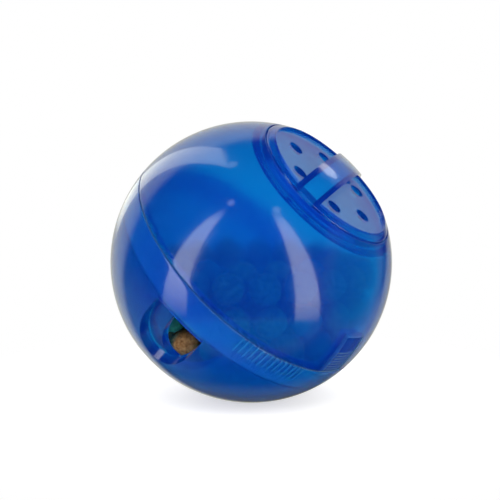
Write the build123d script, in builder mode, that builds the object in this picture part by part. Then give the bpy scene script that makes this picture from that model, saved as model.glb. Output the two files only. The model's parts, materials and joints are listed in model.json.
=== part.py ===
"""Treat dispensing ball: two clear halves, a portion shutter, a fill cap and the treats inside.

The ball lies on its side, as it does after a roll: +Z is up, the origin is where it touches the floor, and
the axis through the fill cap leans over towards +X. Sizes are in millimetres.
"""
import os
from math import asin, atan2, cos, degrees, floor, pi, radians, sin, sqrt

from build123d import *

# Ball, and how it lies
ball_diameter = 76.0
axis_lean = 45.0  # degrees from upright
port_turn = -81.5  # degrees from the downhill side to the port

# Lap, where the upper half's spigot turns inside the lower half's rim
rim_wall = 0.95
spigot_wall = 0.9
spigot_tip_wall = 0.4
lap_clearance = 0.25
lap_depth = 8.4
lap_end_clearance = 0.3
seam_gap = 0.3

# Dispensing port, drawn straight along the ball's axis
port_diameter = 16.0
port_inset = 3.1  # port's centre line inside the ball's surface
port_land = 0.7  # wall left between the lap's ledge and the port

# Tick scale on the inside of the lower rim
tick_count = 14
tick_start = 23.0  # degrees from the port
tick_pitch = 2.4  # degrees
tick_length = 5.0
tick_width = 0.4
tick_depth = 0.3

# Portion shutter
shutter_clearance = 0.3
shutter_wall = 1.4
shutter_foot = -52.0  # degrees below the ball's equator
shutter_rest = 9.7  # degrees that the shutter has turned from fully open
tab_turn = 70.5  # degrees from the port
tab_width = 8.0
tab_height = 11.4
tab_inset = 0.25  # tab's face inside the ball's surface
tab_rib_count = 7
tab_rib_pitch = 0.95
tab_rib_groove = 0.5
tab_rib_depth = 0.45
tab_rib_start = 0.6
notch_clearance = 0.3

# Fill hole and its cap
fill_hole_diameter = 42.4
collar_wall = 1.5
collar_depth = 2.8  # from the hole's edge down to the seat
seat_width = 1.6
seat_wall = 1.0
seat_clearance = 0.1
cap_clearance = 0.35
cap_rim_width = 1.9
pocket_depth = 0.85
cap_floor_wall = 1.6
skirt_wall = 1.5
grip_width = 7.7
grip_wall = 1.5
vent_count = 6
vent_diameter = 4.2
vent_circle = 24.8
vent_turn = 30.0  # degrees from the grip bar

# Treats
treat_length = 8.8
treat_thickness = 6.0
treat_gap = 0.25
treat_sides = 9
treat_end_share = 0.68  # width of a treat's flat ends
treat_tilt = 7.5  # degrees that a treat leans from lying flat on its layer
treat_spin = 137.5  # degrees from one treat to the next
heap_level = 0.0  # top of the heap, from the ball's centre
heap_turn = -76.0  # degrees from the port's bearing to the heap's first treat
heap_twist = 17.0  # degrees from one ring to the next
green_every = 3

# One overrun for all cuts
overrun = 1.0

# Radii of the nested spheres
ball_radius = ball_diameter / 2
rebate_radius = ball_radius - rim_wall
spigot_radius = rebate_radius - lap_clearance
inner_radius = spigot_radius - spigot_wall
shutter_radius = inner_radius - shutter_clearance
shutter_bore = shutter_radius - shutter_wall
heap_radius = shutter_bore - treat_gap

# Heights above the ball's centre, along its axis
seam_low = -seam_gap / 2
seam_high = seam_gap / 2
spigot_end = lap_end_clearance - lap_depth
port_top = -lap_depth - port_land
shutter_top = seam_high

# Waist: the spigot's tip is bored straight, and the shutter is straight there, so that the halves pull apart
spigot_tip_radius = sqrt(spigot_radius**2 - spigot_end**2) - spigot_tip_wall
spigot_tip_top = -sqrt(inner_radius**2 - spigot_tip_radius**2)
waist_radius = spigot_tip_radius - shutter_clearance
waist_height = sqrt(shutter_radius**2 - waist_radius**2)

# Planes: the equator carries the port on its X, a meridian holds the axis on its Y
ball_centre = (0, 0, ball_radius)
lean = radians(axis_lean)
downhill = Plane(origin=ball_centre, x_dir=(cos(lean), 0, -sin(lean)), z_dir=(sin(lean), 0, cos(lean)))
polar_axis = Axis(downhill.origin, downhill.z_dir)


def turned(plane, turn):
    """A plane turned about its own normal, in degrees."""
    return Plane(plane * Rotation(0, 0, turn))


equator = turned(downhill, port_turn)


def meridian(turn=0.0):
    """Plane through the ball's axis, turned from the port."""
    level = turned(equator, turn)
    return Plane(origin=level.origin, x_dir=level.x_dir, z_dir=-level.y_dir)


def height_at(radius, reach):
    """Height of a sphere's surface at a reach from the axis, or its reach at a height."""
    return sqrt(radius**2 - reach**2)


def meridian_arc(radius, low, high):
    """Arc of a sphere's meridian between two heights."""
    start = degrees(asin(low / radius))
    return CenterArc((0, 0), radius, start, degrees(asin(high / radius)) - start)


def zone(outer, inner, low, high, turn=0.0):
    """Section, on a meridian, of a spherical wall between two heights."""
    with BuildSketch(meridian(turn)) as section:
        with BuildLine():
            outer_arc = meridian_arc(outer, low, high)
            inner_arc = meridian_arc(inner, low, high)
            Line(outer_arc @ 0, inner_arc @ 0)
            Line(outer_arc @ 1, inner_arc @ 1)
        make_face()
    return section.sketch


def arc_angle(length, radius):
    """Angle, in degrees, of a length along a circle."""
    return degrees(length / radius)


port_centre = ball_radius - port_inset

# Lower half: port, thinned rim and tick scale
tick_angle = arc_angle(tick_width, rebate_radius)
with BuildPart() as lower_shell:
    with BuildSketch(meridian(180)):
        with BuildLine():
            outside = meridian_arc(ball_radius, -ball_radius, seam_low)
            rebate = meridian_arc(rebate_radius, -lap_depth, seam_low)
            inside = meridian_arc(inner_radius, -inner_radius, -lap_depth)
            Line(outside @ 1, rebate @ 1)
            Line(rebate @ 0, inside @ 1)
            Line(inside @ 0, outside @ 0)
        make_face()
    revolve(axis=polar_axis)
    with BuildSketch(equator.offset(port_top)):
        with Locations((port_centre, 0)):
            Circle(port_diameter / 2)
    extrude(amount=-ball_radius, mode=Mode.SUBTRACT)
    for tick in range(tick_count):
        revolve(
            zone(
                rebate_radius + tick_depth,
                spigot_radius,
                seam_low - tick_length,
                seam_low + overrun,
                tick_start + tick * tick_pitch - tick_angle / 2,
            ),
            axis=polar_axis,
            revolution_arc=tick_angle,
            mode=Mode.SUBTRACT,
        )
lower_shell.part.label = "lower_shell"

# Upper half: spigot, fill hole with its seat, and the notch that keys the shutter's tab
fill_hole_radius = fill_hole_diameter / 2
fill_edge = height_at(ball_radius, fill_hole_radius)
collar_radius = fill_hole_radius + collar_wall
seat_radius = fill_hole_radius - seat_width
seat_top = fill_edge - collar_depth
tab_radius = ball_radius - tab_inset
tab_angle = arc_angle(tab_width, tab_radius)
notch_angle = arc_angle(tab_width + 2 * notch_clearance, tab_radius)
with BuildPart() as upper_shell:
    with BuildSketch(meridian()):
        with BuildLine():
            outside = meridian_arc(ball_radius, seam_high, fill_edge)
            inside = meridian_arc(inner_radius, spigot_tip_top, height_at(inner_radius, collar_radius))
            spigot = meridian_arc(spigot_radius, spigot_end, seam_high)
            Line(outside @ 0, spigot @ 1)
            Polyline(spigot @ 0, (spigot_tip_radius, spigot_end), inside @ 0)
            Polyline(
                outside @ 1,
                (fill_hole_radius, seat_top),
                (seat_radius, seat_top),
                (seat_radius, seat_top - seat_wall),
                (collar_radius, seat_top - seat_wall),
                inside @ 1,
            )
        make_face()
    revolve(axis=polar_axis)
    revolve(
        zone(
            ball_radius + overrun,
            inner_radius - overrun,
            spigot_end - overrun,
            tab_height + notch_clearance,
            tab_turn - notch_angle / 2,
        ),
        axis=polar_axis,
        revolution_arc=notch_angle,
        mode=Mode.SUBTRACT,
    )
upper_shell.part.label = "upper_shell"

# Portion shutter: ring with its own port and a ribbed key tab
shutter_low = shutter_radius * sin(radians(shutter_foot))
with BuildPart() as shutter_ring:
    with BuildSketch(meridian(180)):
        with BuildLine():
            outside = meridian_arc(shutter_radius, shutter_low, -waist_height)
            tab_face = meridian_arc(tab_radius, shutter_top, tab_height)
            bore = meridian_arc(shutter_bore, shutter_low, tab_height)
            Polyline(outside @ 1, (waist_radius, shutter_top), tab_face @ 0)
            Line(outside @ 0, bore @ 0)
            Line(tab_face @ 1, bore @ 1)
        make_face()
    revolve(axis=polar_axis)
    with BuildSketch(turned(equator, shutter_rest).offset(port_top)):
        with Locations((port_centre, 0)):
            Circle(port_diameter / 2)
    extrude(amount=-ball_radius, mode=Mode.SUBTRACT)
    revolve(
        zone(ball_radius, heap_radius, shutter_top, tab_height + overrun, tab_turn + tab_angle / 2),
        axis=polar_axis,
        revolution_arc=360 - tab_angle,
        mode=Mode.SUBTRACT,
    )
    for rib in range(tab_rib_count):
        groove = shutter_top + tab_rib_start + rib * tab_rib_pitch
        groove_floor = height_at(tab_radius, groove) - tab_rib_depth
        with BuildSketch(meridian(tab_turn - notch_angle / 2)):
            with Locations((groove_floor, groove)):
                Rectangle(ball_radius - groove_floor, tab_rib_groove, align=(Align.MIN, Align.MIN))
        revolve(axis=polar_axis, revolution_arc=notch_angle, mode=Mode.SUBTRACT)
shutter_ring.part.label = "shutter_ring"

# Hollow under the cap's grip bar
cap_radius = fill_hole_radius - cap_clearance
cap_edge = height_at(ball_radius, cap_radius)
pocket_radius = cap_radius - cap_rim_width
cap_floor = height_at(ball_radius, pocket_radius) - pocket_depth
cap_underside = cap_floor - cap_floor_wall
with BuildPart() as grip_hollow:
    with BuildSketch(equator.offset(cap_underside)):
        Rectangle(2 * (pocket_radius - grip_wall), grip_width - 2 * grip_wall)
    extrude(amount=ball_radius - cap_underside)
    with Locations(equator):
        Sphere(ball_radius - grip_wall, mode=Mode.INTERSECT)

# Fill cap: domed plug, two half-moon pockets beside the grip bar, vents and skirt
with BuildPart() as fill_cap:
    with BuildSketch(meridian()):
        with BuildLine():
            dome = meridian_arc(ball_radius, cap_edge, ball_radius)
            Polyline(
                dome @ 1,
                (0, cap_underside),
                (cap_radius - skirt_wall, cap_underside),
                (cap_radius - skirt_wall, seat_top + seat_clearance),
                (cap_radius, seat_top + seat_clearance),
                dome @ 0,
            )
        make_face()
    revolve(axis=polar_axis)
    with BuildSketch(equator.offset(cap_floor)):
        Circle(pocket_radius)
        Rectangle(2 * cap_radius, grip_width, mode=Mode.SUBTRACT)
    extrude(amount=ball_radius, mode=Mode.SUBTRACT)
    add(grip_hollow.part, mode=Mode.SUBTRACT)
    with BuildSketch(equator.offset(cap_floor + overrun)):
        with PolarLocations(vent_circle / 2, vent_count, start_angle=vent_turn):
            Circle(vent_diameter / 2)
    extrude(amount=-cap_floor_wall - 2 * overrun, mode=Mode.SUBTRACT)
fill_cap.part.label = "fill_cap"

# One treat: a chunky bit, widest at its middle
treat_radius = treat_length / 2
with BuildPart() as treat:
    for level, share in ((-1, treat_end_share), (0, 1), (1, treat_end_share)):
        with BuildSketch(Plane.XY.offset(level * treat_thickness / 2)):
            RegularPolygon(treat_radius * share, treat_sides)
    loft(ruled=True)

# Heap: layers against the wall, each of level rings round the straight-down line
treat_pitch = treat_length + treat_gap
treat_lean = radians(treat_tilt)
treat_half = treat_thickness / 2 * cos(treat_lean) + treat_radius * treat_end_share * sin(treat_lean)
port_bearing = degrees(atan2(equator.x_dir.Y, equator.x_dir.X))


def ring_places(layer, step, ring):
    """Planes of the treats in one level ring of a layer, and whether each is a green one."""
    slope = ring * step
    reach = layer * sin(slope)
    count = floor(pi / asin(treat_pitch / 2 / reach)) if reach > treat_pitch / 2 else 1
    for place in range(count):
        bearing = radians(port_bearing + heap_turn + ring * heap_twist + 360 * place / count)
        out = Vector(sin(slope) * cos(bearing), sin(slope) * sin(bearing), -cos(slope))
        lying = Plane(origin=Vector(ball_centre) + out * layer, z_dir=out)
        yield lying, (place + ring) % green_every == 1


heap = []
layer = heap_radius - treat_half
while layer > treat_pitch / 2:
    step = 2 * asin(treat_pitch / 2 / layer)
    ring = 0
    while -layer * cos(ring * step) <= heap_level and ring * step < pi:
        heap.extend(ring_places(layer, step, ring))
        ring += 1
    layer -= 2 * treat_half + treat_gap

tan_places = []
green_places = []
for index, (lying, is_green) in enumerate(heap):
    leaning = lying * Rotation(treat_tilt * sin(index), treat_tilt * cos(index), treat_spin * index)
    (green_places if is_green else tan_places).append(leaning)

with BuildPart() as tan_treats:
    with Locations(*tan_places):
        add(treat.part)
tan_treats.part.label = "tan_treats"

with BuildPart() as green_treats:
    with Locations(*green_places):
        add(treat.part)
green_treats.part.label = "green_treats"

os.makedirs("parts", exist_ok=True)
export_step(lower_shell.part, "parts/lower_shell.step")
export_step(upper_shell.part, "parts/upper_shell.step")
export_step(shutter_ring.part, "parts/shutter_ring.step")
export_step(fill_cap.part, "parts/fill_cap.step")
export_step(tan_treats.part, "parts/tan_treats.step")
export_step(green_treats.part, "parts/green_treats.step")
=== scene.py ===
"""Treat dispensing ball of clear blue plastic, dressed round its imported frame.

Each moulding is drawn as an outline, spun about the ball's axis in an upright working frame, cut, and then
laid over as the ball lies. The treats are softened copies of the frame's own treats. Sizes are in metres.
"""
import json
from math import asin, cos, pi, radians, sin, sqrt
from types import SimpleNamespace

import bpy
from bpy.props import FloatProperty, FloatVectorProperty, IntProperty, PointerProperty
from mathutils import Matrix, Vector


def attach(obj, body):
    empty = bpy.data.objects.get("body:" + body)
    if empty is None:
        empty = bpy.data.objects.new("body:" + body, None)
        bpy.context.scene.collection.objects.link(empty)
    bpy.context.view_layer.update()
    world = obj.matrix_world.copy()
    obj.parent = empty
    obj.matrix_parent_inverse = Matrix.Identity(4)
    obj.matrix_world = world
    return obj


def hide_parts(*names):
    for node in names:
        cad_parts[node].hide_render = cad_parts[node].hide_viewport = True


bl_info = {
    "name": "Treat ball",
    "version": (1, 0, 0),
    "blender": (4, 5, 0),
    "location": "View3D > Sidebar > Treat ball",
    "description": "Builds a clear treat dispensing ball and its studio round a packed frame",
    "category": "Object",
}

MM = 0.001
CAPTURE_PIXELS = 500
SKIN_INSET = 3e-6
ARC_STEP = radians(1.5)
SPIN_STEPS = 240
NOTCH_STEPS = 12
SMOOTH_ANGLE = radians(32)
GRAIN_SCALE = 900.0

# Floor's reach and where it fades into the room, as shares of the ball's radius
FLOOR_REACH = 6
FLOOR_FADE = (1.4, 2.6)

# Tall softboxes: place and lean as shares of the camera's up and back, and size as a share of their distance
STRIP_PLACE = (0.3, 1.05)
STRIP_LEAN = (2.4, 1.43)
STRIP_SIZE = (0.5, 2.8)
BANK_SIZE = (0.45, 1.8)

# Pale patches of the room, in reflections: shares of the camera's right, up and back, the angles in degrees
# at which a patch begins to fade and ends, and its brightness as a share of a studio glow
ROOM_PATCHES = (
    (-0.28, 0.36, -0.89, 38, 49, "wall_glow", 0.64),
    (0.4, -0.12, -0.905, 10, 20, "wall_glow", 0.4),
    (0.6, -0.42, -0.68, 10, 20, "wall_glow", 0.26),
    (0.5, 0.56, -0.62, 12, 30, "wall_glow", 0.42),
    (0.0, -0.62, -0.78, 10, 28, "wall_glow", 0.12),
    (-0.75, -0.52, -0.38, 8, 36, "wall_glow", 0.13),
    (0.59, 0.72, -0.37, 4, 7, "strip_glow", 1.0),
    (-0.19, 0.98, 0.07, 2, 4, "strip_glow", 0.35),
    (-0.25, 0.73, 0.635, 1.5, 3.5, "strip_glow", 0.5),
    (0.32, 0.65, 0.69, 1.5, 4, "strip_glow", 0.5),
)

# Mirror images of the tall softboxes, then of their bright edges: side, brightness, and the named sizes
STRIP_SIZES = ("Middle", "Lean", "Half", "Spread", "Low", "High", "Soft", "Fade")
ROOM_STRIPS = (
    (-1, 1.0, -0.065, 0.112, 0.145, -0.13, -1.4, 0.68, 0.04, 0.3),
    (1, 1.0, -0.15, 0.1, 0.15, -0.125, -1.7, 0.7, 0.04, 0.3),
    (-1, 0.35, 0.1, 0.02, 0.012, 0.0, -0.9, 0.4, 0.01, 0.3),
    (1, 0.35, -0.235, 0.19, 0.012, 0.0, -1.2, 0.2, 0.01, 0.3),
)

# Rows of the room's node tree where each kind of image starts
BANK_ROW = len(ROOM_PATCHES)
STRIP_ROW = BANK_ROW + 4
TABLE_ROW = STRIP_ROW + len(ROOM_STRIPS)

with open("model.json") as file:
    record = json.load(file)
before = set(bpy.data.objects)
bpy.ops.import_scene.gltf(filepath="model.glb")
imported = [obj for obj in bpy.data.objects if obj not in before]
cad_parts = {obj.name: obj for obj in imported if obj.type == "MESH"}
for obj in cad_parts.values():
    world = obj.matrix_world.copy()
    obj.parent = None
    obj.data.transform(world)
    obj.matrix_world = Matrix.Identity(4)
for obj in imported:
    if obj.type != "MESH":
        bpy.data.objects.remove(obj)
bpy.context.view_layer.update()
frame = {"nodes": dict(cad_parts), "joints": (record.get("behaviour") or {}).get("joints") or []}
turn_joint = next(joint for joint in frame["joints"] if joint["name"] == "portion_turn")
ball_centre = Vector(turn_joint["pos_m"])
ball_axis = Vector(turn_joint["axis"])


def length(label, words, millimetres):
    """A size, given in millimetres and kept in metres."""
    return FloatProperty(name=label, description=words, default=millimetres * MM, unit="LENGTH", precision=5)


def turn(label, words, degrees):
    """An angle, given in degrees and kept in radians."""
    return FloatProperty(name=label, description=words, default=radians(degrees), subtype="ANGLE")


def share(label, words, value):
    """A plain number, most often between 0 and 1."""
    return FloatProperty(name=label, description=words, default=value, precision=4)


def count(label, words, value):
    """A number of like features."""
    return IntProperty(name=label, description=words, default=value, min=1)


def colour(label, words, rgb):
    """A scene-linear colour."""
    return FloatVectorProperty(
        name=label, description=words, default=rgb, size=3, subtype="COLOR", min=0, max=1
    )


class ShellSizes(bpy.types.PropertyGroup):
    """The two halves of the ball."""

    port_turn: turn("Port turn", "From the downhill side to the port", -81.5)
    rim_wall: length("Rim wall", "Lower half's rim round the lap", 0.95)
    spigot_wall: length("Spigot wall", "Upper half's spigot inside the rim", 0.9)
    spigot_tip_wall: length("Spigot tip wall", "Wall left at the spigot's straight tip", 0.4)
    lap_clearance: length("Lap clearance", "Between rim and spigot", 0.25)
    lap_depth: length("Lap depth", "From the equator to the ledge", 8.4)
    lap_end_clearance: length("Lap end clearance", "Between spigot and ledge", 0.3)
    seam_gap: length("Seam gap", "Line between the halves", 0.3)
    edge_round: length("Edge round", "Radius on moulded edges", 0.3)
    port_diameter: length("Port diameter", "Across the dispensing port", 16.0)
    port_inset: length("Port inset", "Port's centre line inside the surface", 3.1)
    port_land: length("Port land", "Wall between ledge and port", 0.7)
    tick_count: count("Ticks", "Lines of the portion scale", 14)
    tick_start: turn("Tick start", "From the port", 23.0)
    tick_pitch: turn("Tick pitch", "From one tick to the next", 2.4)
    tick_length: length("Tick length", "Along the rim's wall", 5.0)
    tick_width: length("Tick width", "Across a tick", 0.4)
    tick_depth: length("Tick depth", "Into the rim's inner face", 0.3)


class ShutterSizes(bpy.types.PropertyGroup):
    """The ring that sets the portion."""

    clearance: length("Clearance", "To the shells", 0.3)
    wall: length("Wall", "Thickness of the ring", 1.4)
    foot: turn("Foot", "Latitude of the ring's lower edge", -52.0)
    rest: turn("Rest turn", "From fully open to how it is set", 9.7)
    tab_turn: turn("Tab turn", "From the port", 70.5)
    tab_width: length("Tab width", "Along the ring", 8.0)
    tab_height: length("Tab height", "Above the equator", 11.4)
    tab_inset: length("Tab inset", "Tab's face inside the ball's surface", 0.25)
    rib_count: count("Grooves", "Grooves on the tab", 7)
    rib_pitch: length("Groove pitch", "From one groove to the next", 0.95)
    rib_groove: length("Groove width", "Height of a groove", 0.5)
    rib_depth: length("Groove depth", "Into the tab", 0.45)
    rib_start: length("Groove start", "Above the tab's foot", 0.6)
    notch_clearance: length("Notch clearance", "Round the tab", 0.3)


class CapSizes(bpy.types.PropertyGroup):
    """The fill hole and its cap."""

    hole_diameter: length("Fill hole", "Across the hole", 42.4)
    collar_wall: length("Collar wall", "Round the hole", 1.5)
    collar_depth: length("Collar depth", "From the hole's edge to the seat", 2.8)
    seat_width: length("Seat width", "Ledge under the cap", 1.6)
    seat_wall: length("Seat wall", "Thickness of the ledge", 1.0)
    seat_clearance: length("Seat clearance", "Under the skirt", 0.1)
    clearance: length("Cap clearance", "Round the cap", 0.35)
    rim_width: length("Rim width", "Round the pockets", 1.9)
    pocket_depth: length("Pocket depth", "At the pockets' edge", 0.85)
    floor_wall: length("Floor wall", "Under the pockets", 1.6)
    skirt_wall: length("Skirt wall", "Thickness of the skirt", 1.5)
    grip_width: length("Grip width", "Across the bar", 7.7)
    grip_wall: length("Grip wall", "Round the bar's hollow", 1.5)
    vent_count: count("Vents", "Small round holes", 6)
    vent_diameter: length("Vent diameter", "Across a vent", 4.2)
    vent_circle: length("Vent circle", "Diameter of the ring of vents", 24.8)
    vent_turn: turn("Vent turn", "From the bar", 30.0)


class PlasticLook(bpy.types.PropertyGroup):
    """Clear blue plastic with a slight milkiness."""

    clear: colour("Clear tint", "What the faces of a wall let through", (0.55, 0.9, 0.97))
    deep: colour("Deep tint", "Colour that thicker plastic turns", (0.0, 0.846, 0.935))
    depth: share("Depth", "How soon thickness tells, per metre", 1150.0)
    milk: colour("Milk", "What the plastic itself scatters", (0.0, 0.085, 0.82))
    milk_share: share("Milk share", "How much of each face scatters", 0.18)
    # Painted highlight: a lighter scatter on the seams' flat faces, the ticks, the notch and the grooves'
    # upward faces, standing in for the light their edges catch.
    frost: colour("Frost", "Moulded edges and ticks that catch the light", (0.3, 0.6, 0.95))
    frost_share: share("Frost share", "How much of a frosted face scatters", 0.35)
    # Painted shade: a darker, matt copy of the plastic on the shutter's tab, with a larger scattering share.
    tab_shade: colour("Solid", "What the thick tab scatters", (0.0, 0.05, 0.38))
    tab_shade_share: share("Solid share", "How much of the tab's faces scatters", 0.5)
    shade: colour("Shade tint", "What each face lets through to light what is inside", (0.75, 0.72, 0.94))
    polish: share("Polish", "Roughness of the polished skin", 0.03)
    haze: share("Haze", "Roughness of what is seen through the plastic", 0.19)
    ior: share("Bending", "Index of refraction under the skin", 1.3)
    wave: share("Wave", "Height of the mould's slow waves", 1.2)


class TreatLook(bpy.types.PropertyGroup):
    """Dry crumbly treats."""

    tan: colour("Tan", "Crumb of the tan treats", (0.42, 0.22, 0.085))
    tan_dark: colour("Tan crust", "Baked specks of the tan treats", (0.16, 0.065, 0.02))
    green: colour("Green", "Crumb of the green treats", (0.014, 0.19, 0.14))
    green_dark: colour("Green crust", "Baked specks of the green treats", (0.0035, 0.075, 0.07))
    plump: length("Plump", "How far the treats swell", 0.55)
    lump: length("Lump", "How uneven a treat is", 1.1)
    lump_size: length("Lump size", "Spread of the lumps", 3.5)


class StudioSizes(bpy.types.PropertyGroup):
    """Camera and soft light."""

    azimuth: turn("Azimuth", "Camera round the ball", 25.8)
    elevation: turn("Elevation", "Camera above the floor", 8.0)
    distance: length("Distance", "Camera from the ball's centre", 361.0)
    lens: share("Lens", "Focal length in millimetres", 95.8)
    centre_x: share("Centre across", "Picture column of the ball's centre", 251.24)
    centre_y: share("Centre down", "Picture row of the ball's centre", 262.18)
    light_distance: length("Light distance", "Softboxes from the ball's centre", 450.0)
    ambient: share("Ambient", "Light from the room", 0.5)
    strip_glow: share("Strip glow", "Brightness of the two tall softboxes", 3.2)
    bank_glow: share("Bank glow", "Brightness of the long softbox overhead", 1.6)
    wall_glow: share("Wall glow", "Brightness of the white wall behind", 0.95)
    table_glow: share("Table glow", "Brightness of the table in front, in reflections", 0.45)
    warm: colour("Warm white", "Colour of the softboxes and the wall, in reflections", (1.0, 1.0, 0.86))
    table: colour("Table", "Colour of the table in front, in reflections", (0.04, 0.8, 0.85))
    floor_glow: share("Floor glow", "White added to the floor that the camera sees", 0.6)


class TreatBallSettings(bpy.types.PropertyGroup):
    """All settings of the ball."""

    shells: PointerProperty(type=ShellSizes)
    shutter: PointerProperty(type=ShutterSizes)
    cap: PointerProperty(type=CapSizes)
    plastic: PointerProperty(type=PlasticLook)
    treats: PointerProperty(type=TreatLook)
    studio: PointerProperty(type=StudioSizes)


def worked_out():
    """Radii, heights and places that follow from the settings, in the upright working frame."""
    ball = bpy.context.scene.treat_ball
    shells, shutter, cap = ball.shells, ball.shutter, ball.cap
    radius = ball_centre.z - SKIN_INSET
    rebate = radius - shells.rim_wall
    spigot = rebate - shells.lap_clearance
    inner = spigot - shells.spigot_wall
    spigot_end = shells.lap_end_clearance - shells.lap_depth
    tip = sqrt(spigot**2 - spigot_end**2) - shells.spigot_tip_wall
    ring = inner - shutter.clearance
    waist = tip - shutter.clearance
    hole = cap.hole_diameter / 2
    cap_radius = hole - cap.clearance
    pocket = cap_radius - cap.rim_width
    fill_edge = reach_at(radius, hole)
    cap_floor = reach_at(radius, pocket) - cap.pocket_depth
    return SimpleNamespace(
        radius=radius,
        rebate=rebate,
        spigot=spigot,
        inner=inner,
        spigot_end=spigot_end,
        tip=tip,
        tip_top=-sqrt(inner**2 - tip**2),
        ring=ring,
        bore=ring - shutter.wall,
        waist=waist,
        waist_height=sqrt(ring**2 - waist**2),
        seam=shells.seam_gap / 2,
        port_top=-shells.lap_depth - shells.port_land,
        port_centre=radius - shells.port_inset,
        tab=radius - shutter.tab_inset,
        tab_angle=shutter.tab_width / (radius - shutter.tab_inset),
        notch_angle=(shutter.tab_width + 2 * shutter.notch_clearance) / (radius - shutter.tab_inset),
        hole=hole,
        fill_edge=fill_edge,
        seat_top=fill_edge - cap.collar_depth,
        cap_radius=cap_radius,
        cap_edge=reach_at(radius, cap_radius),
        pocket=pocket,
        cap_floor=cap_floor,
        cap_underside=cap_floor - cap.floor_wall,
        posture=Matrix.Translation(ball_centre)
        @ Matrix.Rotation(Vector((0, 0, 1)).angle(ball_axis), 4, "Y")
        @ Matrix.Rotation(shells.port_turn, 4, "Z"),
    )


def reach_at(radius, height):
    """Reach of a sphere at a height, or its height at a reach."""
    return sqrt(radius**2 - height**2)


def arc(radius, low, high):
    """Points along a sphere's meridian from one height to another, as (reach, height)."""
    start, end = asin(low / radius), asin(high / radius)
    steps = max(2, round(abs(end - start) / ARC_STEP))
    angles = [start + (end - start) * step / steps for step in range(steps + 1)]
    return [(radius * cos(a), radius * sin(a)) for a in angles]


def rounded(before, corner, after, size, steps=4):
    """A corner of an outline, eased by a small round."""
    corner = Vector(corner)
    start = corner + (Vector(before) - corner).normalized() * size
    end = corner + (Vector(after) - corner).normalized() * size
    shares = [step / steps for step in range(steps + 1)]
    return [tuple(start * (1 - t) ** 2 + corner * 2 * t * (1 - t) + end * t**2) for t in shares]


def eased(outline, size, sharpest=radians(40)):
    """A closed outline with all its sharp corners rounded."""
    made = []
    for index, corner in enumerate(outline):
        before, after = outline[index - 1], outline[(index + 1) % len(outline)]
        into, out = Vector(corner) - Vector(before), Vector(after) - Vector(corner)
        if into.angle(out) > sharpest:
            made += rounded(before, corner, after, min(size, into.length * 0.45, out.length * 0.45))
        else:
            made.append(corner)
    return made


def start_piece(name):
    """Names the object that was just added, which stays the active one."""
    piece = bpy.context.object
    piece.name = name
    piece.data.name = name
    return piece


def pick(*pieces):
    """Selects these pieces alone, the first one active."""
    bpy.ops.object.select_all(action="DESELECT")
    for piece in pieces:
        piece.select_set(True)
    bpy.context.view_layer.objects.active = pieces[0]


def spin_outline(name, outline, sweep=2 * pi, start=0.0, steps=SPIN_STEPS, closed=True):
    """A shape of revolution, drawn point by point on a meridian and spun about the upright axis."""
    bpy.ops.object.select_all(action="DESELECT")
    bpy.ops.mesh.primitive_plane_add(size=MM)
    piece = start_piece(name)
    points = [Vector((reach * cos(start), reach * sin(start), height)) for reach, height in outline]
    bpy.ops.object.mode_set(mode="EDIT")
    bpy.ops.mesh.merge(type="CENTER")
    bpy.ops.transform.translate(value=points[0])
    for here, there in zip(points, points[1:]):
        bpy.ops.mesh.extrude_region_move(TRANSFORM_OT_translate={"value": there - here})
    if closed:
        bpy.ops.mesh.extrude_region_move(TRANSFORM_OT_translate={"value": points[0] - points[-1]})
    bpy.ops.mesh.select_all(action="SELECT")
    bpy.ops.mesh.remove_doubles(threshold=MM / 1000)
    bpy.ops.mesh.spin(steps=steps, angle=-sweep, center=(0, 0, 0), axis=(0, 0, 1))
    bpy.ops.mesh.select_all(action="SELECT")
    bpy.ops.mesh.remove_doubles(threshold=MM / 1000)
    if sweep < 2 * pi:
        bpy.ops.mesh.select_all(action="SELECT")
        bpy.ops.mesh.fill_holes(sides=0)
        bpy.ops.mesh.select_all(action="SELECT")
    bpy.ops.mesh.normals_make_consistent(inside=False)
    bpy.ops.object.mode_set(mode="OBJECT")
    return piece


def box_cutter(name, low, high):
    """A box between two corners, to cut with."""
    low, high = Vector(low), Vector(high)
    bpy.ops.object.select_all(action="DESELECT")
    bpy.ops.mesh.primitive_cube_add(size=1, location=(low + high) / 2)
    piece = start_piece(name)
    piece.scale = high - low
    bpy.ops.object.transform_apply(location=True, rotation=True, scale=True)
    return piece


def rod_cutter(name, radius, low, high, place, sides=96):
    """An upright round rod, to cut with."""
    bpy.ops.object.select_all(action="DESELECT")
    middle = Vector((*place, (low + high) / 2))
    bpy.ops.mesh.primitive_cylinder_add(vertices=sides, radius=radius, depth=high - low, location=middle)
    piece = start_piece(name)
    bpy.ops.object.transform_apply(location=True, rotation=True, scale=True)
    return piece


def around(piece, number, pitch):
    """Copies a piece about the upright axis and joins the copies."""
    copies = [piece]
    for step in range(1, number):
        copy = piece.copy()
        copy.data = piece.data.copy()
        bpy.context.collection.objects.link(copy)
        copy.data.transform(Matrix.Rotation(pitch * step, 4, "Z"))
        copies.append(copy)
    pick(*copies)
    bpy.ops.object.join()
    return piece


def combine(piece, other, operation, material=None):
    """Cuts, joins or trims a piece with another one, which is used up and may bring its own material."""
    other.data.materials.clear()
    if material or piece.data.materials:
        other.data.materials.append(material or piece.data.materials[0])
    pick(piece)
    modifier = piece.modifiers.new(other.name, "BOOLEAN")
    modifier.object = other
    modifier.operation = operation
    modifier.solver = "EXACT"
    modifier.material_mode = "TRANSFER"
    bpy.ops.object.modifier_apply(modifier=modifier.name)
    bpy.data.objects.remove(other, do_unlink=True)


def highlight_level(piece, height):
    """Gives the faces that lie flat at a height the piece's second material, the lighter one that paints a
    highlight there.
    """
    for face in piece.data.polygons:
        if abs(face.center.z - height) < MM / 100 and abs(face.normal.z) > 0.9:
            face.material_index = 1


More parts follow.
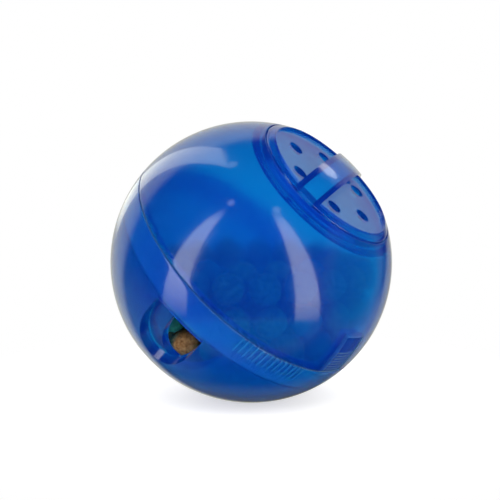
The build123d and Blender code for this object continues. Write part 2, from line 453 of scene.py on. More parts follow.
def finish_moulding(piece, posture, body, node):
    """Lays a moulding over as the ball lies, smooths it, and ties it to its body."""
    pick(piece)
    piece.matrix_world = posture
    bpy.ops.object.transform_apply(location=True, rotation=True, scale=True)
    bpy.ops.object.shade_smooth_by_angle(angle=SMOOTH_ANGLE)
    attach(piece, body)
    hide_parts(node)


def add_node(tree, kind, place, **values):
    """A shader node at a place in its tree, with its plain inputs set by name."""
    made = tree.nodes.new(kind)
    made.location = (place[0] * 220, place[1] * -220)
    for name, value in values.items():
        made.inputs[name.replace("_", " ")].default_value = value
    return made


def add_sockets(group, direction, *names):
    """Plain number sockets on a node group."""
    for name in names:
        group.interface.new_socket(name, in_out=direction, socket_type="NodeSocketFloat")


def mould_marks():
    """Slow waves and handling smudges of polished plastic, as a height and a roughness."""
    name = "mould_marks"
    if name in bpy.data.node_groups:
        return bpy.data.node_groups[name]
    group = bpy.data.node_groups.new(name, "ShaderNodeTree")
    add_sockets(group, "INPUT", "Roughness", "Wave")
    add_sockets(group, "OUTPUT", "Roughness", "Height")
    entry = add_node(group, "NodeGroupInput", (0, 0))
    leave = add_node(group, "NodeGroupOutput", (5, 0))
    place = add_node(group, "ShaderNodeTexCoord", (0, 1))
    waves = add_node(group, "ShaderNodeTexNoise", (1, 0), Scale=80.0, Detail=1.0, Roughness=0.4)
    smudge = add_node(group, "ShaderNodeTexNoise", (1, 1), Scale=120.0, Detail=5.0, Roughness=0.65)
    patches = add_node(group, "ShaderNodeMapRange", (2, 1))
    patches.inputs["From Min"].default_value = 0.42
    patches.inputs["From Max"].default_value = 0.72
    patches.inputs["To Min"].default_value = 1.0
    patches.inputs["To Max"].default_value = 1.3
    wear = add_node(group, "ShaderNodeMath", (3, 1))
    wear.operation = "MULTIPLY"
    height = add_node(group, "ShaderNodeMath", (3, 0))
    height.operation = "MULTIPLY"
    link = group.links.new
    link(place.outputs["Object"], waves.inputs["Vector"])
    link(place.outputs["Object"], smudge.inputs["Vector"])
    link(smudge.outputs["Fac"], patches.inputs["Value"])
    link(patches.outputs["Result"], wear.inputs[0])
    link(entry.outputs["Roughness"], wear.inputs[1])
    link(waves.outputs["Fac"], height.inputs[0])
    link(entry.outputs["Wave"], height.inputs[1])
    link(wear.outputs["Value"], leave.inputs["Roughness"])
    link(height.outputs["Value"], leave.inputs["Height"])
    return group


def clear_plastic(name, kind="milk"):
    """Clear blue plastic: tinted glass with a milky share, and tinted light for what is inside.

    Milk is the plain wall; moulded edges and ticks get a lighter scatter, a painted highlight where they
    catch the light; the tab gets a darker matt scatter, painted shade.
    """
    look = bpy.context.scene.treat_ball.plastic
    # The scatter colour and share of the kind: milk for the plain wall, a lighter painted highlight for
    # moulded edges and ticks, a darker painted shade for the tab.
    scatter_colour, milk_share = getattr(look, kind), getattr(look, kind + "_share")
    skin = 0.0 if kind == "tab_shade" else 1.0
    material = bpy.data.materials.new(name)
    material.use_nodes = True
    tree = material.node_tree
    tree.nodes.clear()
    out = add_node(tree, "ShaderNodeOutputMaterial", (6, 0))
    marks = add_node(tree, "ShaderNodeGroup", (0, 0))
    marks.node_tree = mould_marks()
    marks.inputs["Roughness"].default_value = look.haze
    marks.inputs["Wave"].default_value = look.wave
    bump = add_node(tree, "ShaderNodeBump", (1, 1), Strength=1.0, Distance=0.0002)
    glass = add_node(tree, "ShaderNodeBsdfPrincipled", (2, 0), Transmission_Weight=1.0, IOR=look.ior)
    glass.inputs["Base Color"].default_value = (*look.clear, 1)
    milk = add_node(tree, "ShaderNodeBsdfPrincipled", (2, 2), IOR=look.ior)
    milk.inputs["Base Color"].default_value = (*scatter_colour, 1)
    body = add_node(tree, "ShaderNodeMixShader", (3, 0), Fac=milk_share)
    tint = add_node(tree, "ShaderNodeBsdfTransparent", (3, 2), Color=(*look.shade, 1))
    deep = add_node(tree, "ShaderNodeVolumeAbsorption", (5, 2), Color=(*look.deep, 1), Density=look.depth)
    path = add_node(tree, "ShaderNodeLightPath", (3, -2))
    bounced = add_node(tree, "ShaderNodeMixShader", (4, 0))
    shaded = add_node(tree, "ShaderNodeMixShader", (5, 0))
    link = tree.links.new
    link(marks.outputs["Height"], bump.inputs["Height"])
    for shader in (glass, milk):
        shader.inputs["Coat Weight"].default_value = skin
        shader.inputs["Specular IOR Level"].default_value = 0.5 * skin
        shader.inputs["Coat Roughness"].default_value = look.polish
        link(marks.outputs["Roughness"], shader.inputs["Roughness"])
        link(bump.outputs["Normal"], shader.inputs["Normal"])
    link(glass.outputs["BSDF"], body.inputs[1])
    link(milk.outputs["BSDF"], body.inputs[2])
    link(path.outputs["Is Diffuse Ray"], bounced.inputs["Fac"])
    link(body.outputs["Shader"], bounced.inputs[1])
    link(tint.outputs["BSDF"], bounced.inputs[2])
    link(path.outputs["Is Shadow Ray"], shaded.inputs["Fac"])
    link(bounced.outputs["Shader"], shaded.inputs[1])
    link(tint.outputs["BSDF"], shaded.inputs[2])
    link(shaded.outputs["Shader"], out.inputs["Surface"])
    link(deep.outputs["Volume"], out.inputs["Volume"])
    return material


def crumb_grain():
    """Crumbly grain of a dry treat, as crust specks and a height."""
    name = "crumb_grain"
    if name in bpy.data.node_groups:
        return bpy.data.node_groups[name]
    group = bpy.data.node_groups.new(name, "ShaderNodeTree")
    add_sockets(group, "INPUT", "Scale")
    add_sockets(group, "OUTPUT", "Crust", "Height")
    entry = add_node(group, "NodeGroupInput", (0, 0))
    leave = add_node(group, "NodeGroupOutput", (5, 0))
    place = add_node(group, "ShaderNodeTexCoord", (0, 1))
    crumbs = add_node(group, "ShaderNodeTexNoise", (1, 0), Detail=6.0, Roughness=0.7)
    pores = add_node(group, "ShaderNodeTexVoronoi", (1, 1))
    deep = add_node(group, "ShaderNodeMapRange", (2, 1))
    deep.inputs["From Max"].default_value = 0.35
    crust = add_node(group, "ShaderNodeMapRange", (2, 0))
    crust.inputs["From Min"].default_value = 0.38
    crust.inputs["From Max"].default_value = 0.66
    height = add_node(group, "ShaderNodeMath", (3, 1))
    height.operation = "MULTIPLY"
    link = group.links.new
    for texture in (crumbs, pores):
        link(place.outputs["Object"], texture.inputs["Vector"])
        link(entry.outputs["Scale"], texture.inputs["Scale"])
    link(pores.outputs["Distance"], deep.inputs["Value"])
    link(crumbs.outputs["Fac"], crust.inputs["Value"])
    link(crumbs.outputs["Fac"], height.inputs[0])
    link(deep.outputs["Result"], height.inputs[1])
    link(crust.outputs["Result"], leave.inputs["Crust"])
    link(height.outputs["Value"], leave.inputs["Height"])
    return group


def baked_treat(name, crumb, crust):
    """Dry baked treat, crumb-coloured with darker crust specks."""
    material = bpy.data.materials.new(name)
    material.use_nodes = True
    tree = material.node_tree
    tree.nodes.clear()
    out = add_node(tree, "ShaderNodeOutputMaterial", (4, 0))
    grain = add_node(tree, "ShaderNodeGroup", (0, 0))
    grain.node_tree = crumb_grain()
    grain.inputs["Scale"].default_value = GRAIN_SCALE
    shades = add_node(tree, "ShaderNodeMix", (1, 0))
    shades.data_type = "RGBA"
    shades.inputs["A"].default_value = (*crumb, 1)
    shades.inputs["B"].default_value = (*crust, 1)
    bump = add_node(tree, "ShaderNodeBump", (1, 1), Strength=0.9, Distance=0.0004)
    dry = add_node(tree, "ShaderNodeBsdfPrincipled", (3, 0), Roughness=0.85, Specular_IOR_Level=0.25)
    link = tree.links.new
    link(grain.outputs["Crust"], shades.inputs["Factor"])
    link(grain.outputs["Height"], bump.inputs["Height"])
    link(shades.outputs["Result"], dry.inputs["Base Color"])
    link(bump.outputs["Normal"], dry.inputs["Normal"])
    link(dry.outputs["BSDF"], out.inputs["Surface"])
    return material


class TREATBALL_OT_lower_shell(bpy.types.Operator):
    """Half with the dispensing port, the thinned rim and the portion scale"""

    bl_idname = "treatball.lower_shell"
    bl_label = "Lower shell"

    def execute(self, context):
        shells = context.scene.treat_ball.shells
        at = worked_out()
        outline = arc(at.radius, -at.radius, -at.seam)
        outline += arc(at.rebate, -at.seam, -shells.lap_depth)
        outline += arc(at.inner, -shells.lap_depth, -at.inner)
        outline = outline[:1] + eased(outline, shells.edge_round)[1:-1] + outline[-1:]
        piece = spin_outline("lower_shell_skin", outline, closed=False)
        # Lighter scatter on the seam's flat face and the ticks: a painted highlight where their edges catch
        # the light.
        highlit = clear_plastic("frosted_blue_lower", kind="frost")
        piece.data.materials.append(clear_plastic("clear_blue_lower"))
        piece.data.materials.append(highlit)
        highlight_level(piece, -at.seam)
        port = rod_cutter("port", shells.port_diameter / 2, -at.radius - MM, at.port_top, (at.port_centre, 0))
        combine(piece, port, "DIFFERENCE")
        tick_turn = shells.tick_width / at.rebate
        tick = spin_outline(
            "tick",
            arc(at.rebate + shells.tick_depth, -at.seam - shells.tick_length, at.seam)
            + arc(at.spigot, at.seam, -at.seam - shells.tick_length),
            sweep=tick_turn,
            start=shells.tick_start - tick_turn / 2,
            steps=2,
        )
        combine(piece, around(tick, shells.tick_count, shells.tick_pitch), "DIFFERENCE", highlit)
        finish_moulding(piece, at.posture, "lower_half", "lower_shell")
        return {"FINISHED"}


class TREATBALL_OT_upper_shell(bpy.types.Operator):
    """Half with the spigot, the fill hole, and the notch that keys the shutter"""

    bl_idname = "treatball.upper_shell"
    bl_label = "Upper shell"

    def execute(self, context):
        ball = context.scene.treat_ball
        shells, shutter, cap = ball.shells, ball.shutter, ball.cap
        at = worked_out()
        collar = at.hole + cap.collar_wall
        seat = at.hole - cap.seat_width
        outline = arc(at.radius, at.seam, at.fill_edge)
        outline += [
            (at.hole, at.seat_top),
            (seat, at.seat_top),
            (seat, at.seat_top - cap.seat_wall),
            (collar, at.seat_top - cap.seat_wall),
        ]
        outline += arc(at.inner, reach_at(at.inner, collar), at.tip_top)
        outline += [(at.tip, at.spigot_end)]
        outline += arc(at.spigot, at.spigot_end, at.seam)
        piece = spin_outline("upper_shell_skin", eased(outline, shells.edge_round))
        piece.data.materials.append(clear_plastic("clear_blue_upper"))
        # Lighter scatter on the seam's flat face and the notch: a painted highlight where their edges catch
        # the light.
        highlit = clear_plastic("frosted_blue_upper", kind="frost")
        piece.data.materials.append(highlit)
        highlight_level(piece, at.seam)
        notch_top = shutter.tab_height + shutter.notch_clearance
        notch_foot = at.spigot_end - MM
        notch = spin_outline(
            "notch",
            arc(at.radius + MM, notch_foot, notch_top) + arc(at.inner - MM, notch_top, notch_foot),
            sweep=at.notch_angle,
            start=shutter.tab_turn - at.notch_angle / 2,
            steps=NOTCH_STEPS,
        )
        combine(piece, notch, "DIFFERENCE", highlit)
        finish_moulding(piece, at.posture, "upper_half", "upper_shell")
        return {"FINISHED"}


class TREATBALL_OT_shutter_ring(bpy.types.Operator):
    """Ring that sets the portion, with its own port and a ribbed tab"""

    bl_idname = "treatball.shutter_ring"
    bl_label = "Shutter ring"

    def execute(self, context):
        shells, shutter = context.scene.treat_ball.shells, context.scene.treat_ball.shutter
        at = worked_out()
        foot = at.ring * sin(shutter.foot)
        outline = arc(at.ring, foot, -at.waist_height) + [(at.waist, at.seam)]
        outline += arc(at.tab, at.seam, shutter.tab_height) + arc(at.bore, shutter.tab_height, foot)
        piece = spin_outline("shutter_ring_skin", eased(outline, shells.edge_round))
        # Lighter scatter on the grooves: a painted highlight where they catch the light.
        highlit = clear_plastic("frosted_blue_shutter_ring", kind="frost")
        piece.data.materials.append(clear_plastic("clear_blue_shutter_ring"))
        # Second material: painted shade on the tab, a darker matt copy of the plastic.
        piece.data.materials.append(clear_plastic("solid_blue_tab", kind="tab_shade"))
        gap = spin_outline(
            "gap",
            [
                (at.bore - MM, at.seam),
                (at.radius + MM, at.seam),
                (at.radius + MM, shutter.tab_height + MM),
                (at.bore - 2 * MM - shutter.wall, shutter.tab_height + MM),
            ],
            sweep=2 * pi - at.tab_angle,
            start=shutter.tab_turn + at.tab_angle / 2,
        )
        combine(piece, gap, "DIFFERENCE")
        port = rod_cutter("port", shells.port_diameter / 2, -at.radius - MM, at.port_top, (at.port_centre, 0))
        port.data.transform(Matrix.Rotation(shutter.rest, 4, "Z"))
        combine(piece, port, "DIFFERENCE")
        for rib in range(shutter.rib_count):
            low = at.seam + shutter.rib_start + rib * shutter.rib_pitch
            high = low + shutter.rib_groove
            floor = reach_at(at.tab, low) - shutter.rib_depth
            groove = spin_outline(
                "groove",
                [(floor, low), (at.radius + MM, low), (at.radius + MM, high), (floor, high)],
                sweep=at.notch_angle,
                start=shutter.tab_turn - at.notch_angle / 2,
                steps=NOTCH_STEPS,
            )
            combine(piece, groove, "DIFFERENCE", highlit)
        # Above the seam the tab's faces get painted shade, a darker matt copy of the plastic; the grooves'
        # faces that look up the ball's axis keep the lighter painted highlight.
        groove_slot = piece.data.materials.find(highlit.name)
        for face in piece.data.polygons:
            if face.center.z > at.seam + MM / 100:
                on_face = abs(face.center.length - at.tab) < MM / 20
                cut = face.material_index == groove_slot and not on_face and face.normal.z > 0.5
                face.material_index = groove_slot if cut else 1
        finish_moulding(piece, at.posture, "shutter", "shutter_ring")
        return {"FINISHED"}


class TREATBALL_OT_fill_cap(bpy.types.Operator):
    """Push-in cap with a hollow grip bar between two finger pockets, and six vents"""

    bl_idname = "treatball.fill_cap"
    bl_label = "Fill cap"

    def execute(self, context):
        shells, cap = context.scene.treat_ball.shells, context.scene.treat_ball.cap
        at = worked_out()
        skirt = at.cap_radius - cap.skirt_wall
        foot = at.seat_top + cap.seat_clearance
        outline = arc(at.radius, at.radius, at.cap_edge)
        outline += [(at.cap_radius, foot), (skirt, foot), (skirt, at.cap_underside), (0, at.cap_underside)]
        outline = outline[:1] + eased(outline, shells.edge_round)[1:-1] + outline[-1:]
        piece = spin_outline("fill_cap_skin", outline, closed=False)
        piece.data.materials.append(clear_plastic("clear_blue_fill_cap"))
        pocket = rod_cutter("pocket", at.pocket, at.cap_floor, at.radius + MM, (0, 0), sides=192)
        pick(pocket)
        bpy.ops.object.mode_set(mode="EDIT")
        bpy.ops.mesh.select_all(action="SELECT")
        bpy.ops.mesh.bisect(
            plane_co=(0, cap.grip_width / 2, 0), plane_no=(0, 1, 0), use_fill=True, clear_inner=True
        )
        bpy.ops.object.mode_set(mode="OBJECT")
        combine(piece, around(pocket, 2, pi), "DIFFERENCE")
        half_length = at.pocket - cap.grip_wall
        half_width = cap.grip_width / 2 - cap.grip_wall
        hollow = box_cutter(
            "hollow",
            (-half_length, -half_width, at.cap_underside - MM),
            (half_length, half_width, at.radius),
        )
        bpy.ops.object.select_all(action="DESELECT")
        bpy.ops.mesh.primitive_uv_sphere_add(segments=192, ring_count=96, radius=at.radius - cap.grip_wall)
        dome = start_piece("dome")
        combine(hollow, dome, "INTERSECT")
        combine(piece, hollow, "DIFFERENCE")
        reach = cap.vent_circle / 2
        spot = (reach * cos(cap.vent_turn), reach * sin(cap.vent_turn))
        vent = rod_cutter(
            "vent", cap.vent_diameter / 2, at.cap_underside - MM, at.cap_floor + MM, spot, sides=48
        )
        combine(piece, around(vent, cap.vent_count, 2 * pi / cap.vent_count), "DIFFERENCE")
        finish_moulding(piece, at.posture, "cap", "fill_cap")
        return {"FINISHED"}


class TREATBALL_OT_treats(bpy.types.Operator):
    """Heap of tan and green treats, softened from the frame's own"""

    bl_idname = "treatball.treats"
    bl_label = "Treats"

    def execute(self, context):
        look = context.scene.treat_ball.treats
        lumps = bpy.data.textures.new("treat_lumps", "CLOUDS")
        lumps.noise_scale = look.lump_size
        lumps.noise_depth = 2
        for kind, crumb, crust in (("tan", look.tan, look.tan_dark), ("green", look.green, look.green_dark)):
            source = frame["nodes"][kind + "_treats"]
            piece = bpy.data.objects.new(kind + "_treats_baked", source.data.copy())
            context.collection.objects.link(piece)
            pick(piece)
            bpy.ops.object.mode_set(mode="EDIT")
            bpy.ops.mesh.select_all(action="SELECT")
            bpy.ops.mesh.remove_doubles(threshold=MM / 1000)
            bpy.ops.mesh.dissolve_limited(angle_limit=radians(2))
            bpy.ops.object.mode_set(mode="OBJECT")
            soft = piece.modifiers.new("soft", "SUBSURF")
            soft.levels = 1
            soft.render_levels = 1
            bpy.ops.object.modifier_apply(modifier=soft.name)
            bpy.ops.object.mode_set(mode="EDIT")
            bpy.ops.mesh.select_all(action="SELECT")
            bpy.ops.transform.shrink_fatten(value=look.plump)
            bpy.ops.object.mode_set(mode="OBJECT")
            uneven = piece.modifiers.new("uneven", "DISPLACE")
            uneven.texture = lumps
            uneven.strength = look.lump
            bpy.ops.object.modifier_apply(modifier=uneven.name)
            bpy.ops.object.shade_smooth()
            piece.data.materials.clear()
            piece.data.materials.append(baked_treat("baked_" + kind, crumb, crust))
            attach(piece, "lower_half")
            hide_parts(kind + "_treats")
        return {"FINISHED"}


def camera_axes(studio):
    """The camera's right, up and back directions."""
    back = Vector((
        sin(studio.azimuth) * cos(studio.elevation),
        -cos(studio.azimuth) * cos(studio.elevation),
        sin(studio.elevation),
    ))
    right = Vector((0, 0, 1)).cross(back).normalized()
    return right, back.cross(right), back


def softbox(name, middle, along, size, glow):
    """A rectangular softbox that lights the ball; its mirror image is drawn in the white room."""
    lamp = bpy.data.lights.new(name, "AREA")
    lamp.shape = "RECTANGLE"
    lamp.size, lamp.size_y = size
    lamp.energy = glow * pi * size[0] * size[1]
    box = bpy.data.objects.new(name, lamp)
    bpy.context.collection.objects.link(box)
    away = middle.normalized()
    across = along.cross(away).normalized()
    turned = Matrix((across, away.cross(across), away)).transposed().to_4x4()
    box.matrix_world = Matrix.Translation(ball_centre + middle) @ turned
    box.visible_camera = False
    box.visible_glossy = False
    box.visible_transmission = False


def add_math(tree, operation, place, *inputs, clamp=False):
    """A maths node fed by sockets or plain numbers; gives its output."""
    made = add_node(tree, "ShaderNodeMath", place)
    made.operation = operation
    made.use_clamp = clamp
    for socket, value in zip(made.inputs, inputs):
        if isinstance(value, bpy.types.NodeSocket):
            tree.links.new(value, socket)
        else:
            socket.default_value = value
    return made.outputs["Value"]


def add_dot(tree, place, first, second):
    """Dot product of a socket with a socket or a plain vector; gives its output."""
    made = add_node(tree, "ShaderNodeVectorMath", place)
    made.operation = "DOT_PRODUCT"
    tree.links.new(first, made.inputs[0])
    if isinstance(second, bpy.types.NodeSocket):
        tree.links.new(second, made.inputs[1])
    else:
        made.inputs[1].default_value = second
    return made.outputs["Value"]


def softbox_glow():
    """Mirror image of a wedge-shaped softbox, as a mask of the direction that is looked in."""
    group = bpy.data.node_groups.new("softbox_glow", "ShaderNodeTree")
    vectors = ("Direction", "Across", "Up", "Away")
    for name in vectors:
        group.interface.new_socket(name, in_out="INPUT", socket_type="NodeSocketVector")
    add_sockets(group, "INPUT", "Middle", "Lean", "Half", "Spread", "Low", "High", "Soft", "Fade")
    add_sockets(group, "OUTPUT", "Glow")
    given = add_node(group, "NodeGroupInput", (0, 0)).outputs
    leave = add_node(group, "NodeGroupOutput", (9, 0))
    across, up, away = (
        add_dot(group, (1, row), given["Direction"], given[name]) for row, name in enumerate(vectors[1:])
    )
    near = add_math(group, "MAXIMUM", (2, 2), away, 0.05)
    x = add_math(group, "DIVIDE", (3, 0), across, near)
    y = add_math(group, "DIVIDE", (3, 1), up, near)
    middle = add_math(group, "MULTIPLY_ADD", (4, 0), y, given["Lean"], given["Middle"])
    half = add_math(group, "MULTIPLY_ADD", (4, 1), y, given["Spread"], given["Half"])
    off = add_math(group, "ABSOLUTE", (6, 0), add_math(group, "SUBTRACT", (5, 0), x, middle))
    inside = add_math(group, "SUBTRACT", (6, 1), half, off)
    side = add_math(group, "DIVIDE", (7, 0), inside, given["Soft"], clamp=True)
    below_top = add_math(group, "SUBTRACT", (5, 2), given["High"], y)
    above_foot = add_math(group, "SUBTRACT", (5, 3), y, given["Low"])
    top = add_math(group, "DIVIDE", (6, 2), below_top, given["Fade"], clamp=True)
    low_fade = add_math(group, "MULTIPLY", (5, 4), given["Fade"], 3.0)
    foot = add_math(group, "DIVIDE", (6, 3), above_foot, low_fade, clamp=True)
    ends = add_math(group, "MULTIPLY", (7, 2), top, foot)
    facing = add_math(group, "GREATER_THAN", (7, 3), away, 0.05)
    glow = add_math(group, "MULTIPLY", (8, 0), side, add_math(group, "MULTIPLY", (8, 2), ends, facing))
    group.links.new(glow, leave.inputs["Glow"])
    return group


def soft_step(tree, place, value, low, high):
    """Eased step from 0 at one value to 1 at another; gives its output."""
    made = add_node(tree, "ShaderNodeMapRange", place)
    made.interpolation_type = "SMOOTHSTEP"
    made.inputs["From Min"].default_value = low
    made.inputs["From Max"].default_value = high
    tree.links.new(value, made.inputs["Value"])
    return made.outputs["Result"]


def seen_directly(tree, place, path):
    """1 for what the camera sees, also through glass; gives its output."""
    rays = [path.outputs[name] for name in ("Is Camera Ray", "Is Transmission Ray")]
    return add_math(tree, "MAXIMUM", place, *rays)


def towards(axes, right, up, back):
    """Direction given by shares of the camera's right, up and back."""
    return (axes[0] * right + axes[1] * up + axes[2] * back).normalized()


def patch_images(tree, where, axes, studio):
    """Round pale patches of the room, one output each."""
    images = []
    for row, (right, up, back, inner, outer, glow, level) in enumerate(ROOM_PATCHES):
        facing = add_dot(tree, (1, row), where, towards(axes, right, up, back))
        patch = soft_step(tree, (2, row), facing, cos(radians(outer)), cos(radians(inner)))
        images.append(add_math(tree, "MULTIPLY", (3, row), patch, level * getattr(studio, glow)))
    return images


def bank_image(tree, where, axes, studio):
    """The long softbox overhead: a band between two edges that ends before the cap and fades downwards."""
    row = BANK_ROW
    bank = add_dot(tree, (1, row), where, towards(axes, -0.627, -0.482, 0.613))
    inner_edge = soft_step(tree, (2, row), bank, -0.495, -0.48)
    outer_edge = soft_step(tree, (2, row + 1), bank, -0.235, -0.25)
    end = soft_step(tree, (2, row + 2), add_dot(tree, (1, row + 2), where, axes[0]), -0.2, -0.27)
    above = soft_step(tree, (2, row + 3), add_dot(tree, (1, row + 3), where, axes[1]), 0.0, 0.2)
    band = add_math(tree, "MULTIPLY", (3, row), inner_edge, outer_edge)
    band = add_math(tree, "MULTIPLY", (3, row + 2), band, end)
    band = add_math(tree, "MULTIPLY", (3, row + 3), band, above)
    return add_math(tree, "MULTIPLY", (4, row), band, studio.bank_glow)


def strip_images(tree, where, axes, studio):
    """The two tall softboxes and their bright edges, one output each."""
    group = softbox_glow()
    images = []
    for row, (side, level, *sizes) in enumerate(ROOM_STRIPS, STRIP_ROW):
        away = towards(axes, side, *STRIP_PLACE)
        across = towards(axes, 0, *STRIP_LEAN).cross(away).normalized()
        strip = add_node(tree, "ShaderNodeGroup", (1, row))
        strip.node_tree = group
        strip.inputs["Across"].default_value = across
        strip.inputs["Up"].default_value = away.cross(across)
        strip.inputs["Away"].default_value = away
        for name, value in zip(STRIP_SIZES, sizes):
            strip.inputs[name].default_value = value
        tree.links.new(where, strip.inputs["Direction"])
        images.append(add_math(tree, "MULTIPLY", (3, row), strip.outputs["Glow"], level * studio.strip_glow))
    return images


def table_mask(tree, where, axes):
    """Where the table shows in reflections, in front of the ball and beside it; gives its output."""
    row = TABLE_ROW
    down = soft_step(tree, (2, row), add_dot(tree, (1, row), where, Vector((0, 0, -1))), 0.58, 0.64)
    before = soft_step(tree, (2, row + 1), add_dot(tree, (1, row + 1), where, axes[2]), 0.0, 0.35)
    beside = add_dot(tree, (1, row + 2), where, towards(axes, 0.95, -0.1, -0.1))
    beside = soft_step(tree, (2, row + 2), beside, 0.74, 0.96)
    in_front = add_math(tree, "MULTIPLY", (3, row), down, before)
    beside = add_math(tree, "MULTIPLY", (3, row + 2), beside, 1.1)
    return add_math(tree, "MAXIMUM", (4, row), in_front, beside)


def white_room(studio):
    """World that is white to look at; in reflections it is a dark room with softboxes and a white wall."""
    axes = camera_axes(studio)
    world = bpy.data.worlds.new("white_room")
    bpy.context.scene.world = world
    world.use_nodes = True
    tree = world.node_tree
    tree.nodes.clear()
    out = add_node(tree, "ShaderNodeOutputWorld", (10, 0))
    light = add_node(tree, "ShaderNodeBackground", (9, 0))
    path = add_node(tree, "ShaderNodeLightPath", (6, 2))
    where = add_node(tree, "ShaderNodeTexCoord", (0, 0)).outputs["Generated"]
    table = table_mask(tree, where, axes)
    images = patch_images(tree, where, axes, studio)
    images.append(bank_image(tree, where, axes, studio))
    images += strip_images(tree, where, axes, studio)
    images.append(add_math(tree, "MULTIPLY", (5, TABLE_ROW), table, studio.table_glow))
    total = images[0]
    for row, image in enumerate(images[1:]):
        total = add_math(tree, "MAXIMUM", (6, row + 4), total, image)
    hues = [add_node(tree, "ShaderNodeMix", (7 + step, 2)) for step in range(2)]
    white = Vector((1, 1, 1))
    for hue, (first, second) in zip(hues, ((studio.warm, studio.table), (white, studio.warm))):
        hue.data_type = "RGBA"
        hue.inputs["A"].default_value = (*first, 1)
        hue.inputs["B"].default_value = (*second, 1)
    mirrored = add_node(tree, "ShaderNodeMix", (7, 0), A=studio.ambient)
    shown = add_node(tree, "ShaderNodeMix", (8, 0), B=1.0)
    link = tree.links.new
    link(path.outputs["Is Glossy Ray"], mirrored.inputs["Factor"])
    link(total, mirrored.inputs["B"])
    link(seen_directly(tree, (7, 1), path), shown.inputs["Factor"])
    link(mirrored.outputs["Result"], shown.inputs["A"])
    link(table, hues[0].inputs["Factor"])
    link(path.outputs["Is Glossy Ray"], hues[1].inputs["Factor"])
    link(hues[0].outputs["Result"], hues[1].inputs["B"])
    link(hues[1].outputs["Result"], light.inputs["Color"])
    link(shown.outputs["Result"], light.inputs["Strength"])
    link(light.outputs["Background"], out.inputs["Surface"])


def pale_floor(glow):
    """Pale floor round the ball that fades into the white room."""
    bpy.ops.object.select_all(action="DESELECT")
    reach = FLOOR_REACH * ball_centre.z
    bpy.ops.mesh.primitive_circle_add(vertices=96, radius=reach, fill_type="TRIFAN")
    floor = start_piece("floor")
    floor.visible_glossy = False
    material = bpy.data.materials.new("pale_floor")
    material.use_nodes = True
    tree = material.node_tree
    tree.nodes.clear()
    out = add_node(tree, "ShaderNodeOutputMaterial", (5, 0))
    matt = add_node(tree, "ShaderNodeBsdfDiffuse", (2, 0), Color=(0.92, 0.92, 0.92, 1))
    white = add_node(tree, "ShaderNodeEmission", (2, 1))
    lit = add_node(tree, "ShaderNodeAddShader", (3, 0))
    open_air = add_node(tree, "ShaderNodeBsdfTransparent", (3, 1))
    path = add_node(tree, "ShaderNodeLightPath", (0, 1))
    seen = seen_directly(tree, (1, 1), path)
    place = add_node(tree, "ShaderNodeTexCoord", (0, 2))
    away = add_node(tree, "ShaderNodeVectorMath", (1, 2))
    away.operation = "LENGTH"
    fade_start, fade_end = (ball_centre.z * fade for fade in FLOOR_FADE)
    fade = soft_step(tree, (2, 2), away.outputs["Value"], fade_start, fade_end)
    both = add_node(tree, "ShaderNodeMixShader", (4, 0))
    link = tree.links.new
    link(place.outputs["Object"], away.inputs[0])
    link(add_math(tree, "MULTIPLY", (1, 0), seen, glow), white.inputs["Strength"])
    link(matt.outputs["BSDF"], lit.inputs[0])
    link(white.outputs["Emission"], lit.inputs[1])
    link(fade, both.inputs["Fac"])
    link(lit.outputs["Shader"], both.inputs[1])
    link(open_air.outputs["BSDF"], both.inputs[2])
    link(both.outputs["Shader"], out.inputs["Surface"])
    floor.data.materials.append(material)


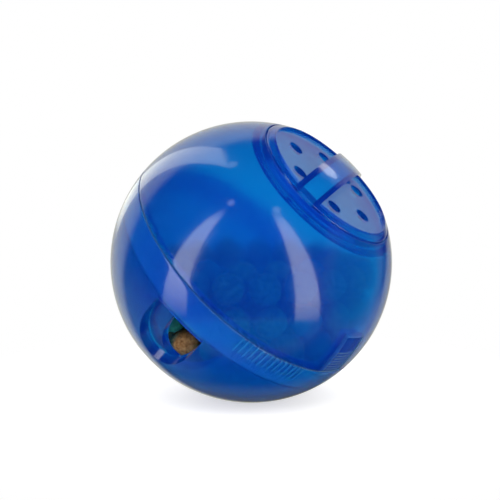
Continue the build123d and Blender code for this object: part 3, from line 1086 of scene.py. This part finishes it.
class TREATBALL_OT_stage(bpy.types.Operator):
    """Pale floor, white room, softboxes and camera"""

    bl_idname = "treatball.stage"
    bl_label = "Stage"

    def execute(self, context):
        studio = context.scene.treat_ball.studio
        right, up, back = camera_axes(studio)
        far = studio.light_distance
        for name, side, level in (("left_strip", -1, 1.0), ("right_strip", 1, 1.8)):
            middle = (right * side + up * STRIP_PLACE[0] + back * STRIP_PLACE[1]) * far
            lean = up * STRIP_LEAN[0] + back * STRIP_LEAN[1]
            softbox(name, middle, lean, [far * size for size in STRIP_SIZE], level * studio.strip_glow)
        bank_middle = (up * 0.75 - right * 0.36 - back * 0.55) * 1.6 * far
        softbox("back_bank", bank_middle, up, [far * size for size in BANK_SIZE], studio.bank_glow)
        white_room(studio)
        pale_floor(studio.floor_glow)
        lens = bpy.data.cameras.new("camera")
        lens.lens = studio.lens
        lens.sensor_width = 36
        lens.shift_x = 0.5 - studio.centre_x / CAPTURE_PIXELS
        lens.shift_y = studio.centre_y / CAPTURE_PIXELS - 0.5
        camera = bpy.data.objects.new("camera", lens)
        context.collection.objects.link(camera)
        turned = Matrix((right, up, back)).transposed().to_4x4()
        camera.matrix_world = Matrix.Translation(ball_centre + back * studio.distance) @ turned
        context.scene.camera = camera
        context.scene.view_settings.view_transform = "Standard"
        return {"FINISHED"}


class TREATBALL_PT_panel(bpy.types.Panel):
    """Buttons that build the ball"""

    bl_idname = "TREATBALL_PT_panel"
    bl_label = "Treat ball"
    bl_space_type = "VIEW_3D"
    bl_region_type = "UI"
    bl_category = "Treat ball"

    def draw(self, context):
        for operator in OPERATORS:
            self.layout.operator(operator.bl_idname)


SETTINGS = (ShellSizes, ShutterSizes, CapSizes, PlasticLook, TreatLook, StudioSizes, TreatBallSettings)
OPERATORS = (
    TREATBALL_OT_lower_shell,
    TREATBALL_OT_upper_shell,
    TREATBALL_OT_shutter_ring,
    TREATBALL_OT_fill_cap,
    TREATBALL_OT_treats,
    TREATBALL_OT_stage,
)
CLASSES = (*SETTINGS, *OPERATORS, TREATBALL_PT_panel)


def register():
    """Registers the settings, the operators and the panel."""
    for made in CLASSES:
        bpy.utils.register_class(made)
    bpy.types.Scene.treat_ball = PointerProperty(type=TreatBallSettings)


def unregister():
    """Takes them away again."""
    del bpy.types.Scene.treat_ball
    for made in reversed(CLASSES):
        bpy.utils.unregister_class(made)


def main():
    """Builds the ball piece by piece, then its studio."""
    register()
    bpy.ops.treatball.lower_shell()
    bpy.ops.treatball.upper_shell()
    bpy.ops.treatball.shutter_ring()
    bpy.ops.treatball.fill_cap()
    bpy.ops.treatball.treats()
    bpy.ops.treatball.stage()


if __name__ == "__main__":
    main()
